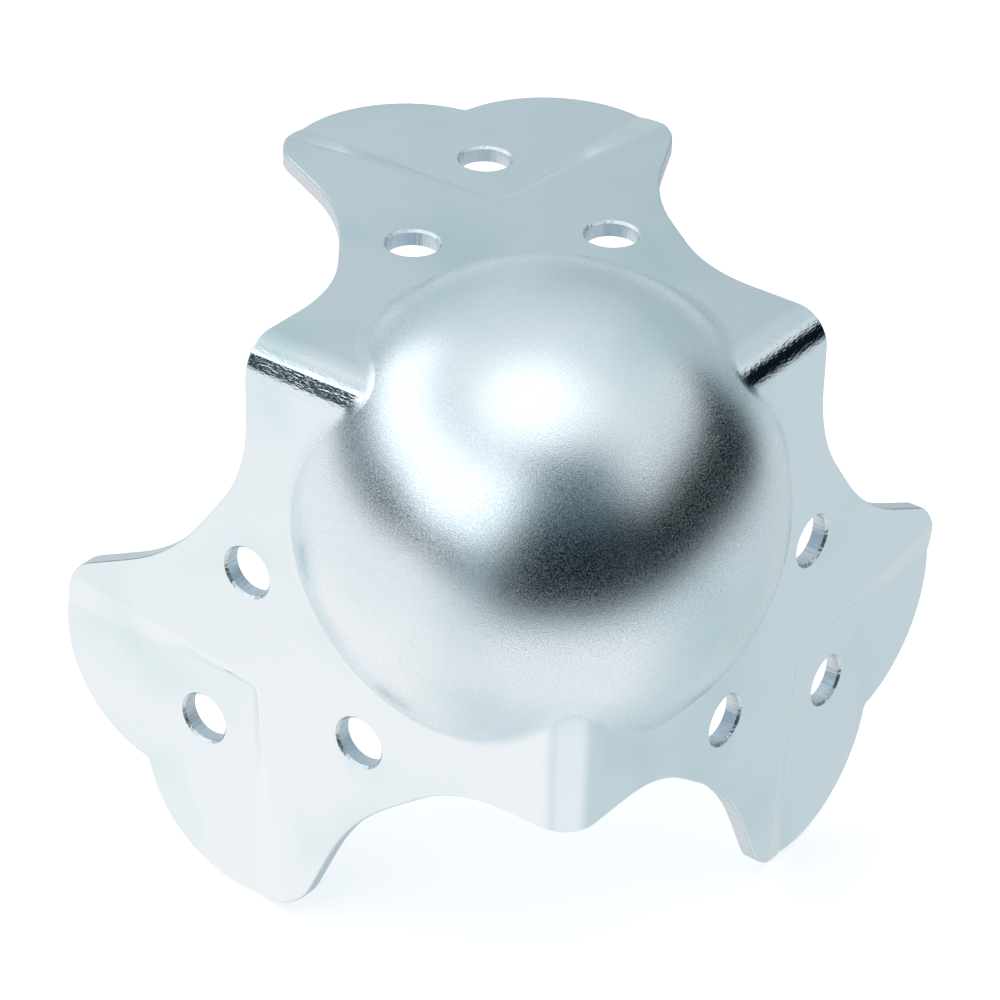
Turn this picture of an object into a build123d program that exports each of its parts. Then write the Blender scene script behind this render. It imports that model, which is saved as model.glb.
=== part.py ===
from build123d import *
import math
import os

# Flight case corner, pressed in one piece from zinc plated sheet steel.
# Three wings lie on the three faces that meet at a corner of the case. A ball bulges out of the corner
# and takes the knocks. The tip of each wing is cranked down, off the edging, to the case's panel.
# Millimetres. The case fills x < 0, y > 0 and z < 0, and the seats of the wings meet at the origin.
# On each wing, u and v are measured from the origin along its two case edges.

# Sheet
sheet = 1.6
crease_radius = 0.3     # the tight side of the two bends of the crank
cut_rounding = 0.25     # the rolled edge that the punch leaves outside, round the outline

# Ridges, where two wings meet along an edge of the case
ridge_reach = 36.2      # origin to the square end
ridge_radius = 3.5      # outer radius

# Ball
ball_radius = 22.9      # outer radius
ball_rise = 6.8         # how far it stands proud of each wing
ball_blend = 2.0        # concave radius where the ball rises from wings and ridges
corner_cut = 0.75       # where the block's own corner is cut off inside the ball, as a share of its depth

# Wing outline, as on the flat blank, alike on both sides of the wing's diagonal
blank_turn = 0.4        # degrees that the blank lay turned in the press, anticlockwise from outside
waist_run = 11.8        # origin to the waist's first bend, along the end of the ridge
waist_bend = 16.0       # radius of that bend
flare_u = 45.4          # the waist's second bend
flare_v = 24.2
flare_bend = 23.5       # radius of that bend
flare_angle = 25.4      # degrees between the flare's straight stretch and the case edge
lobe_radius = 12.3
lobe_run = 8.4          # along the straight stretch, from the waist's second bend to beside the lobe's centre
lobe_sink = 0.8         # how deep the straight stretch, drawn on, cuts into the round of the lobe
lobe_shoulder = 5.0     # radius where the flare turns into the lobe
notch_round = 0.4       # radius in the notch between the two lobes

# Cranked tip
crank_line = 36.3       # both fold lines lie this far from the origin, each along its case edge
crank_depth = 1.1       # the step down to the panel
crank_run = 1.1         # width of the slope where the two fold lines meet
crank_flare = 3.2       # what the slope has gained in width where it leaves the lobe
crank_round = 1.5       # radius in plan where the two fold lines meet

# Rivet holes
hole = 5.0
mouth = 0.25            # the slope that the punch leaves round each mouth, as wide as it is deep
edging_hole_far = 36.1  # the two holes through the edging: along one case edge
edging_hole_near = 22.8 # and along the other
tip_hole = 42.6         # the hole in the tip: along both case edges

# Margins that only have to be large enough
overrun = 15.0          # how far a cutting tool passes the sheet
block_size = 80.0       # side of the block that the forms are cut from
tiny = 0.001

# The centre of the ball lies this far behind each of the three seats.
ball_depth = ball_radius - ball_rise - sheet

# The wings follow each other round the line through the origin and the centre of the ball.
ball_axis = Axis((0, 0, 0), (1, -1, 1))
wings = 3
wing_step = 360 / wings


def on_each_wing(thing):
    """Copies of what belongs to the top wing, one for each wing."""
    return [thing.rotate(ball_axis, wing_step * number) for number in range(wings)]


def wing_plane(height=0.0):
    """The seat of the top wing, or a plane above it: x is u, y is v and z points out of the case."""
    return Plane(origin=(0, 0, height), x_dir=(0, 1, 0), z_dir=(0, 0, 1))


def seen_on_wing(point, number):
    """u, v and height of a point, as seen on one of the wings."""
    turned_back = point.rotate(ball_axis, -wing_step * number)
    return turned_back.Y, -turned_back.X, turned_back.Z


def slope_shift(run, depth):
    """How much nearer to the origin a slope's fold lines are on a surface this deep inside the sheet."""
    return depth * math.tan(math.atan2(crank_depth, run) / 2)


def crank_tool(depth):
    """What leaves the cranked tip when it is cut from the block. Its flanks widen towards the lobes."""
    far = block_size + overrun
    lobe_edge = lobe_centre().X + lobe_radius
    far_run = crank_run + crank_flare * (far - crank_line) / (lobe_edge - crank_line)
    near_foot = crank_line - slope_shift(crank_run, depth)
    far_foot = crank_line - slope_shift(far_run, depth)
    height = sheet - depth
    ends = []
    for rise in (-1, 1):
        near = near_foot - (rise + 1) * crank_run
        side = far_foot - (rise + 1) * far_run
        outline = Polygon((near, near), (far, side), (far, far), (side, far), align=None)
        ends.append(wing_plane(height + rise * crank_depth) * outline)
    tool = loft(ends, ruled=True)
    inner_corner = tool.edges().sort_by_distance((-near_foot, near_foot, height))[0]
    return fillet(inner_corner, crank_round + slope_shift(crank_run, depth))


def fold_edges(block, height, level):
    """The edges of the three cranks at one level, without those where a crank runs out of the block."""
    found = ShapeList()
    for edge in block.edges():
        for number in range(wings):
            u, v, place = seen_on_wing(edge.center(), number)
            on_crank = crank_line / 2 < min(u, v) and max(u, v) < block_size - height - tiny
            if on_crank and abs(place - level) < tiny:
                found.append(edge)
    return found


def cranked_block(height, depth):
    """The case's corner as a block, with the three cranks and the three ridges bent round."""
    corner = Vector(height, -height, height)
    block = Pos(corner) * Box(block_size, block_size, block_size, align=(Align.MAX, Align.MIN, Align.MAX))
    for tool in on_each_wing(crank_tool(depth)):
        block -= tool
    block = fillet(fold_edges(block, height, height - crank_depth), crease_radius + depth)
    block = fillet(fold_edges(block, height, height), crease_radius + sheet - depth)
    ridges = block.edges().filter_by(lambda edge: edge.distance_to(corner) < tiny)
    return fillet(ridges, ridge_radius - depth)


def form(depth):
    """The solid under the surface this deep inside the sheet: 0 is the outside and `sheet` the seat."""
    height = sheet - depth
    cut = corner_cut * (ball_depth + height) / 3
    cut_plane = Plane(origin=(height - cut, cut - height, height - cut), z_dir=(-1, 1, -1))
    block = split(cranked_block(height, depth), bisect_by=cut_plane, keep=Keep.TOP)
    # The ball's poles and seam are turned to where the block hides them.
    ball_centre = Plane(origin=(-ball_depth, ball_depth, -ball_depth), x_dir=(-2, 1, -1), z_dir=(-1, -1, 1))
    joined = block + ball_centre * Sphere(ball_radius - depth)
    foot = joined.faces().filter_by(GeomType.SPHERE)[0].edges()
    return fillet(foot, ball_blend + depth)


def blank_point(u, v):
    """A point of the outline, turned with the blank."""
    return Vector(u, v).rotate(Axis.Z, blank_turn)


def flare_way(run, aside):
    """A point beside the straight stretch of the flare: this far on from its bend, and this far in."""
    return Vector(flare_u, flare_v) + Vector(run, aside).rotate(Axis.Z, flare_angle)


def lobe_centre():
    """Centre of the round of the lobe that lies at the larger u."""
    return flare_way(lobe_run, lobe_radius - lobe_sink)


def lobe_crown():
    """Where the straight stretch of the flare, drawn on, meets the round of the lobe."""
    half_chord = math.sqrt(lobe_radius**2 - (lobe_radius - lobe_sink) ** 2)
    return flare_way(lobe_run + half_chord, 0)


def notch_place():
    """Distance of the notch along both case edges, where the rounds of the two lobes meet."""
    centre = lobe_centre()
    middle = (centre.X + centre.Y) / 2
    aside = (centre.X - centre.Y) / 2
    return middle + math.sqrt(lobe_radius**2 / 2 - aside**2)


def wing_outline():
    """The outline of the top wing, run past the two ridges."""
    crown = lobe_crown()
    crown_a = blank_point(crown.X, crown.Y)
    crown_b = blank_point(crown.Y, crown.X)
    notch = blank_point(notch_place(), notch_place())
    flare_a = blank_point(flare_u, flare_v)
    flare_b = blank_point(flare_v, flare_u)
    waist_a = Vector(ridge_reach, blank_point(ridge_reach, waist_run).Y)
    waist_b = Vector(blank_point(waist_run, ridge_reach).X, ridge_reach)
    side_a = Polyline((-overrun, -overrun), (ridge_reach, -overrun), waist_a, flare_a, crown_a)
    side_b = Polyline(crown_b, flare_b, waist_b, (-overrun, ridge_reach), (-overrun, -overrun))
    lobes = RadiusArc(crown_a, notch, -lobe_radius) + RadiusArc(notch, crown_b, -lobe_radius)
    outline = make_face(side_a + lobes + side_b)
    rounds = [(waist_a, waist_bend), (waist_b, waist_bend), (flare_a, flare_bend), (flare_b, flare_bend)]
    rounds += [(crown_a, lobe_shoulder), (crown_b, lobe_shoulder), (notch, notch_round)]
    for place, radius in rounds:
        outline = fillet(outline.vertices().sort_by_distance(place)[0], radius)
    return outline


def offcut():
    """What the top wing loses outside its outline, from below its cranked tip upwards."""
    low = -(crank_depth + ridge_radius)
    side = block_size + 2 * overrun
    sheet_blank = Pos(-overrun, -overrun) * Rectangle(side, side, align=Align.MIN)
    return extrude(wing_plane(low) * (sheet_blank - wing_outline()), overrun - low)


def rivet_holes():
    """The tools for the three holes of each wing, with the slopes round their mouths."""
    edging = sheet
    tip = sheet - crank_depth
    places = [(edging_hole_far, edging_hole_near, edging), (edging_hole_near, edging_hole_far, edging)]
    places += [(tip_hole, tip_hole, tip)]
    bore = Cylinder(hole / 2, 2 * overrun)
    slope = Cone(hole / 2, hole / 2 + 2 * mouth, 2 * mouth)
    punches = []
    for u, v, surface in places:
        punches += on_each_wing(wing_plane(surface) * Pos(u, v) * (bore + slope))
    return punches


def outer_rim(body, skin):
    """The edges of the cut wall that lie on the outside of the sheet."""
    def outside(edge):
        return skin.distance_to(edge @ 0.5) < tiny

    edges = []
    for face in body.faces():
        if all(outside(edge) for edge in face.edges()):
            edges += face.edges()
    return ShapeList(edge for edge in edges if edges.count(edge) == 1)


def ball_corner():
    """The finished corner: the sheet between two forms, trimmed, with its outer rim rolled, and pierced."""
    outside = form(0)
    body = outside - form(sheet)
    for tool in on_each_wing(offcut()):
        body -= tool
    body = fillet(outer_rim(body, outside.shells()[0]), cut_rounding)
    for tool in rivet_holes():
        body -= tool
    return body


os.makedirs("parts", exist_ok=True)
export_step(ball_corner(), "parts/ball_corner.step")
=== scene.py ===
import math

import bpy
from bpy.props import FloatProperty, FloatVectorProperty, PointerProperty
from mathutils import Matrix, Vector


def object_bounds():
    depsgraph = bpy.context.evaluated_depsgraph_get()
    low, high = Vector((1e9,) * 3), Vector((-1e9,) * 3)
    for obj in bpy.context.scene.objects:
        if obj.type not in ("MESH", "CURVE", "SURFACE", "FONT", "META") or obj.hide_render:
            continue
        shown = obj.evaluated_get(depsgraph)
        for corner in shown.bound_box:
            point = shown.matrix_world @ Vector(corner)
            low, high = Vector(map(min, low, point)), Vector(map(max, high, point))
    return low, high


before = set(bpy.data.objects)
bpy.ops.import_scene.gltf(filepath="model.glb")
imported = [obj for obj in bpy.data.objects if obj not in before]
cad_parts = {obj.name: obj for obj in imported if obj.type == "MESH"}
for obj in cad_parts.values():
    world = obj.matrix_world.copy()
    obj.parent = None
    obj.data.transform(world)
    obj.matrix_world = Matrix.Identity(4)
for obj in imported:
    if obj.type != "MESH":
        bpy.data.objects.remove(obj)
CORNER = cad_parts["ball_corner"]
CAD_BOX = [list(corner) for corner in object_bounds()]

bl_info = {
    "name": "Flight case corner",
    "version": (1, 0, 0),
    "blender": (4, 5, 0),
    "location": "View3D > Sidebar > Case Corner",
    "description": "Finishes the pressed corner of a flight case in zinc plate and sets up its studio",
    "category": "Object",
}

# Lengths are in metres in this frame, and MM turns millimetres into them.
MM = 0.001

# Sizes of the corner, from its drawing. The case fills -X, +Y and -Z from the origin.
SHEET = 1.6 * MM
RIDGE_RADIUS = 3.5 * MM
BALL_RADIUS = 22.9 * MM
BALL_DEPTH = 14.5 * MM
INTO_CASE = (-1, 1, -1)
FLOOR_HEIGHT = CAD_BOX[0][2]

# A wing and its cranked tip lie less than WING_DEPTH behind the plane of the wing's seat. What lies further
# back stops counting as the wing over the length of WING_FADE.
WING_DEPTH = 1.6 * MM
WING_FADE = 0.2 * MM


def linear(hex_colour):
    """The linear RGBA of an sRGB hex colour."""
    parts = [int(hex_colour[i:i + 2], 16) / 255 for i in (0, 2, 4)]
    return tuple(p / 12.92 if p <= 0.04045 else ((p + 0.055) / 1.055) ** 2.4 for p in parts) + (1.0,)


def node(tree, kind, inputs=None, **settings):
    """Adds a node with its settings. An input takes a value, or the socket or node that is linked to it.
    Inputs that share a name are given by number: a Mix has its factor at 0, numbers at 2 and 3 and colours
    at 6 and 7, and a Map Range of vectors has the vector at 6 and its range at 7 and 8."""
    made = tree.nodes.new(kind)
    for name, value in settings.items():
        setattr(made, name, value)
    for name, value in (inputs or {}).items():
        if isinstance(value, bpy.types.Node):
            value = value.outputs[0]
        if isinstance(value, bpy.types.NodeSocket):
            tree.links.new(value, made.inputs[name])
        else:
            made.inputs[name].default_value = value
    return made


class CASECORNER_PG_finish(bpy.types.PropertyGroup):
    """Sizes and colours of the zinc plate."""
    plate: FloatVectorProperty(name="Zinc plate", description="Colour that the plate gives its reflections",
                               subtype="COLOR", size=4, min=0, max=1, default=linear("E7F3FC"))
    tint: FloatVectorProperty(name="Passivate", description="Colour where the blue passivate is thicker",
                              subtype="COLOR", size=4, min=0, max=1, default=linear("D6EBF2"))
    cloud: FloatProperty(name="Cloud", description="Width of the patches of thicker passivate",
                         subtype="DISTANCE", unit="LENGTH", default=14 * MM, precision=4)
    smooth: FloatProperty(name="Smooth roughness", description="Roughness of the wings and ridges",
                          subtype="FACTOR", min=0, max=1, default=0.09)
    ripple: FloatProperty(name="Ripple", description="Width of the slow waves of the wings",
                          subtype="DISTANCE", unit="LENGTH", default=9 * MM, precision=4)
    ripple_depth: FloatProperty(name="Ripple depth", description="Height of the slow waves of the wings",
                                subtype="DISTANCE", unit="LENGTH", default=0.03 * MM, precision=5)
    bright_grain: FloatProperty(name="Bright grain", description="Roughness of the grains that still shine",
                                subtype="FACTOR", min=0, max=1, default=0.05)
    dull_grain: FloatProperty(name="Dull grain", description="Roughness of the grains that scatter most",
                              subtype="FACTOR", min=0, max=1, default=0.37)
    grain: FloatProperty(name="Grain", description="Width of a grain of the drawn ball",
                         subtype="DISTANCE", unit="LENGTH", default=0.09 * MM, precision=5)
    grain_depth: FloatProperty(name="Grain depth", description="Height of a grain",
                               subtype="DISTANCE", unit="LENGTH", default=0.015 * MM, precision=6)
    frost_edge: FloatProperty(name="Frost edge", description="How far the frost runs past the ball's radius",
                              subtype="DISTANCE", unit="LENGTH", default=0.6 * MM, precision=5)
    cut: FloatVectorProperty(name="Cut wall", description="Colour of the walls that the punch cut",
                             subtype="COLOR", size=4, min=0, max=1, default=linear("DDE9F2"))
    cut_roughness: FloatProperty(name="Cut roughness", description="Roughness of the walls that were cut",
                                 subtype="FACTOR", min=0, max=1, default=0.42)
    streak: FloatProperty(name="Streak", description="Width of the streaks down a cut wall",
                          subtype="DISTANCE", unit="LENGTH", default=0.3 * MM, precision=5)
    streak_depth: FloatProperty(name="Streak depth", description="Depth of the streaks down a cut wall",
                                subtype="DISTANCE", unit="LENGTH", default=0.12 * MM, precision=6)
    score: FloatProperty(name="Score", description="Width of the marks that the die rubbed along the ridges",
                         subtype="DISTANCE", unit="LENGTH", default=0.2 * MM, precision=5)
    score_depth: FloatProperty(name="Score depth", description="Depth of the marks along the ridges",
                               subtype="DISTANCE", unit="LENGTH", default=0.03 * MM, precision=6)
    press_mark: FloatProperty(name="Press mark", description="Height of the die's step on the left ridge",
                              subtype="DISTANCE", unit="LENGTH", default=0.115 * MM, precision=6)


class CASECORNER_PG_studio(bpy.types.PropertyGroup):
    """Camera, floor and light."""
    lens: FloatProperty(name="Lens", description="Focal length of the camera", unit="CAMERA", default=145.34)
    azimuth: FloatProperty(name="Azimuth", description="Turn of the camera round the corner",
                           subtype="ANGLE", default=math.radians(36.061))
    elevation: FloatProperty(name="Elevation", description="Height of the camera over the horizon",
                             subtype="ANGLE", default=math.radians(31.83))
    roll: FloatProperty(name="Roll", description="Tilt of the camera",
                        subtype="ANGLE", default=math.radians(1.642))
    distance: FloatProperty(name="Distance", description="Camera to the corner's outer point",
                            subtype="DISTANCE", unit="LENGTH", default=341.016 * MM)
    floor: FloatVectorProperty(name="Floor", description="Colour of the floor",
                               subtype="COLOR", size=4, min=0, max=1, default=linear("FAFBFC"))
    floor_glow: FloatProperty(name="Floor glow", description="Light that comes up through the floor",
                              subtype="FACTOR", min=0, max=1, default=0.5)
    room: FloatProperty(name="Room", description="Brightness of the whole room", min=0, max=5, default=1.1)
    softbox: FloatProperty(name="Softboxes", description="Brightness of the left and overhead softboxes",
                           min=0, max=5, default=1.28)


class CASECORNER_OT_corner(bpy.types.Operator):
    """Finish the corner in zinc plate"""
    bl_idname = "casecorner.corner"
    bl_label = "Corner"

    def execute(self, context):
        finish = context.scene.casecorner_finish
        CORNER.material_slots[0].material = zinc_plate(finish)
        return {"FINISHED"}


def zinc_plate(finish):
    """Bright zinc with a blue passivate: cool pale reflections, satin and grainy where the ball was drawn,
    and greyer with fine streaks through the sheet where the punch cut it."""
    material = bpy.data.materials.new("zinc_plate_blue_passivate")
    material.use_nodes = True
    tree = material.node_tree
    tree.nodes.clear()
    coordinates = node(tree, "ShaderNodeTexCoord").outputs
    place = coordinates["Object"]
    frost = frosted_ball(tree, place, finish)
    off_ball = node(tree, "ShaderNodeMath", {0: 1.0, 1: frost}, operation="SUBTRACT")
    in_wing = wing_skins(tree, place)
    wall = cut_walls(tree, in_wing, coordinates["Normal"], off_ball)
    ridge = upper_ridges(tree, in_wing, off_ball)
    shader = node(tree, "ShaderNodeBsdfPrincipled", {
        "Base Color": plate_colour(tree, place, wall, finish),
        "Metallic": 1.0,
        "Roughness": plate_roughness(tree, place, frost, wall, finish),
        "Normal": plate_relief(tree, place, in_wing, frost, wall, ridge, finish),
    })
    node(tree, "ShaderNodeOutputMaterial", {"Surface": shader})
    return material


def frosted_ball(tree, place, finish):
    """1 on the ball, which was stretched in the press and lost its gloss, running out to 0 round its foot."""
    centre = tuple(BALL_DEPTH * way for way in INTO_CASE)
    from_centre = node(tree, "ShaderNodeVectorMath", {0: place, 1: centre}, operation="SUBTRACT")
    reach = node(tree, "ShaderNodeVectorMath", {0: from_centre}, operation="LENGTH").outputs["Value"]
    # The margin keeps the ball's own outside fully frosted.
    margin = 0.02 * MM
    return node(tree, "ShaderNodeMapRange", {"Value": reach, "From Min": BALL_RADIUS + finish.frost_edge,
                                             "From Max": BALL_RADIUS + margin},
                interpolation_type="SMOOTHSTEP")


def wing_skins(tree, place):
    """For X, Y and Z, 1 where a point lies in the wing on that side of the case, or outside it."""
    behind = node(tree, "ShaderNodeVectorMath", {0: place, 1: INTO_CASE}, operation="MULTIPLY")
    past_wing = (WING_DEPTH + WING_FADE,) * 3
    within_wing = (WING_DEPTH,) * 3
    return node(tree, "ShaderNodeMapRange", {6: behind, 7: past_wing, 8: within_wing},
                data_type="FLOAT_VECTOR").outputs["Vector"]


def cut_walls(tree, in_wing, facing, off_ball):
    """1 on the walls that the punch cut, round the outline and in the holes, and 0 on the skins of the sheet.
    It goes by the cosine between the way that a face looks and the way that its wing looks."""
    skin_cosine, wall_cosine = 0.8, 0.68
    upright = node(tree, "ShaderNodeVectorMath", {0: facing}, operation="ABSOLUTE")
    cosine = node(tree, "ShaderNodeVectorMath", {0: in_wing, 1: upright},
                  operation="DOT_PRODUCT").outputs["Value"]
    steep = node(tree, "ShaderNodeMapRange", {"Value": cosine, "From Min": skin_cosine,
                                              "From Max": wall_cosine})
    return node(tree, "ShaderNodeMath", {0: steep, 1: off_ball}, operation="MULTIPLY")


def upper_ridges(tree, in_wing, off_ball):
    """1 on the two upper ridges, where a wing meets the top one. The die left the lower ridge smooth."""
    top_counts_twice = (1, 1, 2)
    skins = node(tree, "ShaderNodeVectorMath", {0: in_wing, 1: top_counts_twice},
                 operation="DOT_PRODUCT").outputs["Value"]
    both = node(tree, "ShaderNodeMapRange", {"Value": skins, "From Min": 2.0, "From Max": 3.0})
    return node(tree, "ShaderNodeMath", {0: both, 1: off_ball}, operation="MULTIPLY")


def plate_colour(tree, place, wall, finish):
    """Pale zinc with faint clouds of thicker passivate, and greyer cut walls."""
    thin_below, thick_above = 0.5, 0.75
    clouds = node(tree, "ShaderNodeTexNoise", {"Vector": place, "Scale": 1 / finish.cloud, "Detail": 2.0})
    patches = node(tree, "ShaderNodeMapRange", {"Value": clouds, "From Min": thin_below,
                                                "From Max": thick_above})
    skin = node(tree, "ShaderNodeMix", {0: patches, 6: tuple(finish.plate), 7: tuple(finish.tint)},
                data_type="RGBA").outputs[2]
    return node(tree, "ShaderNodeMix", {0: wall, 6: skin, 7: tuple(finish.cut)}, data_type="RGBA").outputs[2]


def plate_roughness(tree, place, frost, wall, finish):
    """Smooth wings, a ball speckled with bright and dull grains, and dull cut walls."""
    bright_below, dull_above = 0.35, 0.65
    # The fourth dimension gives a pattern other than that of the grains in the relief.
    speckle = node(tree, "ShaderNodeTexNoise", {"Vector": place, "Scale": 1 / finish.grain, "Detail": 0.0},
                   noise_dimensions="4D")
    grains = node(tree, "ShaderNodeMapRange", {"Value": speckle, "From Min": bright_below,
                                               "From Max": dull_above, "To Min": finish.bright_grain,
                                               "To Max": finish.dull_grain})
    skin = node(tree, "ShaderNodeMix", {0: frost, 2: finish.smooth, 3: grains})
    return node(tree, "ShaderNodeMix", {0: wall, 2: skin, 3: finish.cut_roughness})


def plate_relief(tree, place, in_wing, frost, wall, ridge, finish):
    """Slow waves all over, grains on the ball, streaks down cut walls, and the die's marks on the ridges."""
    waves = node(tree, "ShaderNodeTexNoise", {"Vector": place, "Scale": 1 / finish.ripple, "Detail": 1.0})
    relief = node(tree, "ShaderNodeBump", {"Height": waves, "Distance": finish.ripple_depth})
    grains = node(tree, "ShaderNodeTexNoise", {"Vector": place, "Scale": 1 / finish.grain, "Detail": 1.0})
    through = drawn_through_sheet(tree, place, in_wing)
    streaks = node(tree, "ShaderNodeTexNoise", {"Vector": through, "Scale": 1 / finish.streak, "Detail": 2.0})
    along = drawn_along_ridges(tree, place, in_wing)
    scores = node(tree, "ShaderNodeTexNoise", {"Vector": along, "Scale": 1 / finish.score, "Detail": 2.0})
    layers = (
        (frost, grains, finish.grain_depth),
        (wall, streaks, finish.streak_depth),
        (ridge, scores, finish.score_depth),
        (ridge, press_step(tree, place), finish.press_mark),
    )
    for share, height, depth in layers:
        relief = node(tree, "ShaderNodeBump", {"Strength": share, "Height": height, "Distance": depth,
                                               "Normal": relief})
    return relief


def drawn_through_sheet(tree, place, in_wing):
    """The place with each wing pressed nearly flat: a pattern on it is drawn out through the sheet."""
    pressed_by = 0.93
    change = node(tree, "ShaderNodeVectorMath", {0: in_wing, 1: (-pressed_by,) * 3}, operation="MULTIPLY")
    return node(tree, "ShaderNodeVectorMath", {0: place, 1: change, 2: place}, operation="MULTIPLY_ADD")


def drawn_along_ridges(tree, place, in_wing):
    """The place with each ridge shortened: a pattern on it is drawn out along the ridge."""
    shortened_to = 0.28
    scale = node(tree, "ShaderNodeVectorMath", {0: in_wing, 1: (1 - shortened_to,) * 3,
                                                2: (shortened_to,) * 3}, operation="MULTIPLY_ADD")
    return node(tree, "ShaderNodeVectorMath", {0: place, 1: scale}, operation="MULTIPLY")


def press_step(tree, place):
    """The die ironed the left ridge flatter below its crest. The height climbs with the square of the angle
    round the ridge's axis, so that the step starts softly and ends in a crease."""
    axis = RIDGE_RADIUS - SHEET
    start, crease = math.radians(24), math.radians(39)
    axes = node(tree, "ShaderNodeSeparateXYZ", {0: place}).outputs
    upward = node(tree, "ShaderNodeMath", {0: axes["Z"], 1: axis}, operation="ADD")
    outward = node(tree, "ShaderNodeMath", {0: axis, 1: axes["Y"]}, operation="SUBTRACT")
    bend = node(tree, "ShaderNodeMath", {0: upward, 1: outward}, operation="ARCTAN2")
    climb = node(tree, "ShaderNodeMapRange", {"Value": bend, "From Min": start, "From Max": crease})
    return node(tree, "ShaderNodeMath", {0: climb, 1: 2.0}, operation="POWER")


class CASECORNER_OT_studio(bpy.types.Operator):
    """Add the camera, the floor and the light"""
    bl_idname = "casecorner.studio"
    bl_label = "Studio"

    def execute(self, context):
        studio = context.scene.casecorner_studio
        add_camera(context, studio)
        add_floor(context, studio)
        add_room(context, studio)
        context.scene.view_settings.view_transform = "Standard"
        return {"FINISHED"}


def add_camera(context, studio):
    """The camera stands where the photograph was taken from."""
    back = Vector((math.sin(studio.azimuth) * math.cos(studio.elevation),
                   -math.cos(studio.azimuth) * math.cos(studio.elevation), math.sin(studio.elevation)))
    level = Vector((math.cos(studio.azimuth), math.sin(studio.azimuth), 0))
    turned = Matrix.Rotation(studio.roll, 3, back)
    right = turned @ level
    up = turned @ back.cross(level)
    outer_point = -Vector(INTO_CASE) * SHEET
    aside, above = -7.352 * MM, -1.437 * MM
    place = outer_point + back * studio.distance + right * aside + up * above
    bpy.ops.object.camera_add(location=place)
    camera = context.object
    camera.rotation_euler = Matrix((right, up, back)).transposed().to_euler()
    camera.data.lens = studio.lens
    camera.data.sensor_width = 36
    camera.data.clip_start = 10 * MM
    context.scene.camera = camera


def add_floor(context, studio):
    """A plain white floor under the tips of the two upright wings, lit from below as well."""
    bpy.ops.object.select_all(action="DESELECT")
    bpy.ops.mesh.primitive_plane_add(size=6.0, location=(0, 0, FLOOR_HEIGHT))
    floor = context.object
    floor.name = "floor"
    bpy.ops.object.transform_apply(location=True)
    # Matt white paint: the eye sees plain white, with a faint cool shadow under the corner.
    material = bpy.data.materials.new("painted_floor")
    material.use_nodes = True
    shader = material.node_tree.nodes["Principled BSDF"]
    shader.inputs["Base Color"].default_value = tuple(studio.floor)
    shader.inputs["Roughness"].default_value = 0.8
    shader.inputs["Emission Color"].default_value = tuple(studio.floor)
    shader.inputs["Emission Strength"].default_value = studio.floor_glow
    floor.data.materials.append(material)
    # The plate mirrors the room's own table instead.
    floor.visible_glossy = False


def add_room(context, studio):
    """The room that the plate mirrors. Softboxes stand on the left, on the right and overhead, with dark gaps
    between them and a pale table below. The camera itself sees plain white."""
    world = bpy.data.worlds.new("studio")
    context.scene.world = world
    world.use_nodes = True
    tree = world.node_tree
    tree.nodes.clear()
    way = node(tree, "ShaderNodeTexCoord").outputs["Generated"]
    turn, rise = turn_and_rise(tree, way)
    white = (studio.softbox,) * 3 + (1.0,)
    colour = far_wall(tree, way, turn, rise)
    colour = dark_gap(tree, colour, turn, rise)
    colour = softboxes(tree, colour, white, way, turn, rise)
    colour = panel(tree, colour, table(tree, way, rise), [(table_edge(tree, turn, rise), 1, -1)])
    seen = node(tree, "ShaderNodeBackground", {"Color": colour, "Strength": studio.room})
    plain = node(tree, "ShaderNodeBackground", {"Color": (1, 1, 1, 1)})
    to_camera = node(tree, "ShaderNodeLightPath").outputs["Is Camera Ray"]
    shown = node(tree, "ShaderNodeMixShader", {0: to_camera, 1: seen, 2: plain})
    node(tree, "ShaderNodeOutputWorld", {"Surface": shown})


def turn_and_rise(tree, way):
    """The angle of a direction round from the front, to the right, and its angle over the horizon. Both are
    in degrees, as all angles of the room are."""
    axes = node(tree, "ShaderNodeSeparateXYZ", {0: way}).outputs
    front = node(tree, "ShaderNodeMath", {0: axes["Y"], 1: -1.0}, operation="MULTIPLY")
    around = node(tree, "ShaderNodeMath", {0: axes["X"], 1: front}, operation="ARCTAN2")
    upward = node(tree, "ShaderNodeMath", {0: axes["Z"]}, operation="ARCSINE")
    return [node(tree, "ShaderNodeMath", {0: angle}, operation="DEGREES") for angle in (around, upward)]


def toward(tree, way, turn, rise):
    """How far a direction points towards a turn and a rise: 1 straight at it, and 0 at right angles to it."""
    turn, rise = math.radians(turn), math.radians(rise)
    aim = (math.cos(rise) * math.sin(turn), -math.cos(rise) * math.cos(turn), math.sin(rise))
    return node(tree, "ShaderNodeVectorMath", {0: way, 1: aim}, operation="DOT_PRODUCT").outputs["Value"]


def panel(tree, behind, colour, edges):
    """Lays a soft-edged panel over the room so far. Each edge is a coordinate, the value at which the panel
    is gone and the value at which it shows in full."""
    share = None
    for coordinate, gone, full in edges:
        edge = node(tree, "ShaderNodeMapRange", {"Value": coordinate, "From Min": gone, "From Max": full},
                    interpolation_type="SMOOTHSTEP")
        share = node(tree, "ShaderNodeMath", {0: share, 1: edge}, operation="MULTIPLY") if share else edge
    return node(tree, "ShaderNodeMix", {0: share, 6: behind, 7: colour}, data_type="RGBA").outputs[2]


def far_wall(tree, way, turn, rise):
    """The wall behind everything, a little lighter towards the left, and lighter upwards."""
    towards_left = toward(tree, way, -90, 0)
    colour = panel(tree, linear("ADB8BA"), linear("BDC6C7"), [(towards_left, 0.45, 0.62)])
    colour = panel(tree, colour, linear("E8EAE8"), [(rise, 5, 95)])
    return panel(tree, colour, linear("ECECE9"), [(turn, -105, -85), (turn, 138, 118), (rise, 46, 62)])


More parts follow.
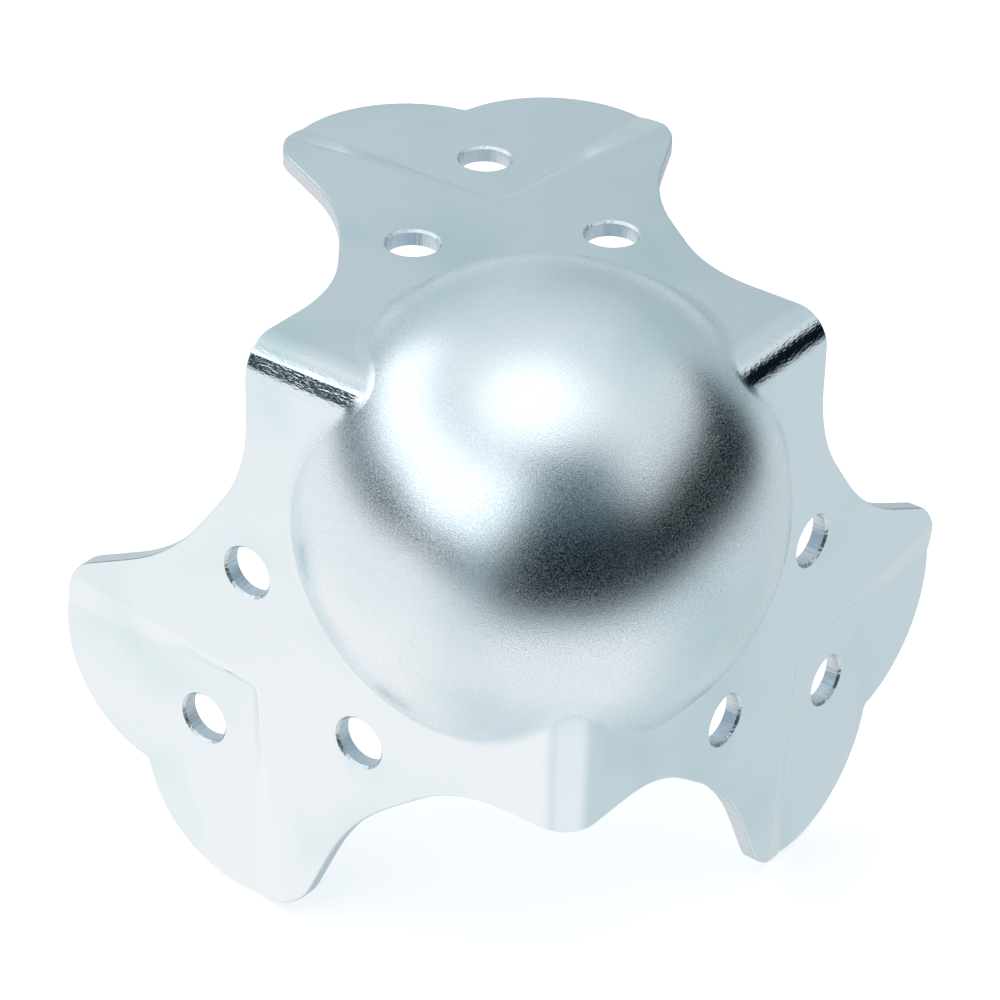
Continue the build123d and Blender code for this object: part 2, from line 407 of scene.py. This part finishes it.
def dark_gap(tree, colour, turn, rise):
    """The gap between the softboxes: half dark high up, darkest near the table and under the right one."""
    colour = panel(tree, colour, linear("566770"), [(turn, 12, 32), (turn, 86, 66), (rise, 60, 43)])
    colour = panel(tree, colour, linear("131D24"), [(turn, -4, 34), (turn, 92, 68), (rise, 32, 12)])
    return panel(tree, colour, linear("0C1319"), [(turn, 68, 84), (turn, 173, 157), (rise, 32, 24)])


def softboxes(tree, colour, white, way, turn, rise):
    """The softboxes on the left, overhead and on the right, and the grey strip under the left one."""
    # The left softbox leans to the right as it rises.
    leaning = node(tree, "ShaderNodeMath", {0: rise, 1: -0.5, 2: turn}, operation="MULTIPLY_ADD")
    colour = panel(tree, colour, white, [(turn, -104, -92), (leaning, 24, -8), (rise, 1, 13), (rise, 50, 36)])

    # The grey strip is higher and lighter on the left.
    drop = node(tree, "ShaderNodeMapRange", {"Value": turn, "From Min": -50.0, "From Max": -10.0,
                                             "To Max": 10.0}, interpolation_type="SMOOTHSTEP")
    dropped = node(tree, "ShaderNodeMath", {0: rise, 1: drop}, operation="ADD")
    colour = panel(tree, colour, linear("727C80"), [(turn, -110, -90), (turn, 10, -10), (dropped, 22, 16)])
    colour = panel(tree, colour, linear("334249"), [(turn, -60, -35), (turn, 10, -10), (dropped, 22, 16)])

    # The softbox overhead is round.
    overhead = toward(tree, way, 10, 77)
    outer, inner = math.cos(math.radians(25)), math.cos(math.radians(12))
    colour = panel(tree, colour, white, [(overhead, outer, inner)])

    # The right softbox starts lower on its left.
    lift = node(tree, "ShaderNodeMapRange", {"Value": turn, "From Min": 85.0, "From Max": 110.0,
                                             "To Max": -8.0}, interpolation_type="SMOOTHSTEP")
    lifted = node(tree, "ShaderNodeMath", {0: rise, 1: lift}, operation="ADD")
    return panel(tree, colour, linear("DBDDDB"), [(turn, 80, 92), (turn, 166, 154), (lifted, 15, 24),
                                                  (rise, 58, 50)])


def table(tree, way, rise):
    """The pale table, brighter close by, warm on the left and cooler at the back on the right."""
    front_right = toward(tree, way, 58, -42)
    front_left = toward(tree, way, -70, -10)
    back_right = toward(tree, way, 150, 0)
    top = panel(tree, linear("D2D9D9"), linear("F0EDEA"), [(front_right, 0.55, 0.9), (rise, -26, -36)])
    top = panel(tree, top, linear("F1EEEB"), [(front_left, 0.2, 0.75)])
    top = panel(tree, top, linear("FCF5EF"), [(front_left, 0.3, 0.8), (rise, -27, -38)])
    return panel(tree, top, linear("CCD2D2"), [(back_right, 0.2, 0.82)])


def table_edge(tree, turn, rise):
    """The table's far edge: -1 or less on the table, and 1 or more past it. It is low in front and higher at
    both sides, and sharpest on the left."""
    below_horizon = 1.0
    sink = node(tree, "ShaderNodeMapRange", {"Value": turn, "From Min": -20.0, "From Max": 24.0,
                                             "To Max": 21.0}, interpolation_type="SMOOTHSTEP")
    climb = node(tree, "ShaderNodeMapRange", {"Value": turn, "From Min": 60.0, "From Max": 130.0,
                                              "To Max": -15.0}, interpolation_type="SMOOTHSTEP")
    softness = node(tree, "ShaderNodeMapRange", {"Value": turn, "From Min": -20.0, "From Max": 20.0,
                                                 "To Min": 3.0, "To Max": 8.0},
                    interpolation_type="SMOOTHSTEP")
    over_edge = rise
    for shift in (sink, climb, below_horizon):
        over_edge = node(tree, "ShaderNodeMath", {0: over_edge, 1: shift}, operation="ADD")
    return node(tree, "ShaderNodeMath", {0: over_edge, 1: softness}, operation="DIVIDE")


class CASECORNER_PT_panel(bpy.types.Panel):
    """Lists the corner's steps."""
    bl_label = "Case Corner"
    bl_idname = "CASECORNER_PT_panel"
    bl_space_type = "VIEW_3D"
    bl_region_type = "UI"
    bl_category = "Case Corner"

    def draw(self, context):
        for operator in (CASECORNER_OT_corner, CASECORNER_OT_studio):
            self.layout.operator(operator.bl_idname)


CLASSES = (CASECORNER_PG_finish, CASECORNER_PG_studio, CASECORNER_OT_corner, CASECORNER_OT_studio,
           CASECORNER_PT_panel)


def register():
    for each in CLASSES:
        bpy.utils.register_class(each)
    bpy.types.Scene.casecorner_finish = PointerProperty(type=CASECORNER_PG_finish)
    bpy.types.Scene.casecorner_studio = PointerProperty(type=CASECORNER_PG_studio)


def unregister():
    del bpy.types.Scene.casecorner_studio
    del bpy.types.Scene.casecorner_finish
    for each in reversed(CLASSES):
        bpy.utils.unregister_class(each)


def main():
    """Makes everything in order."""
    register()
    bpy.ops.casecorner.corner()
    bpy.ops.casecorner.studio()


if __name__ == "__main__":
    main()
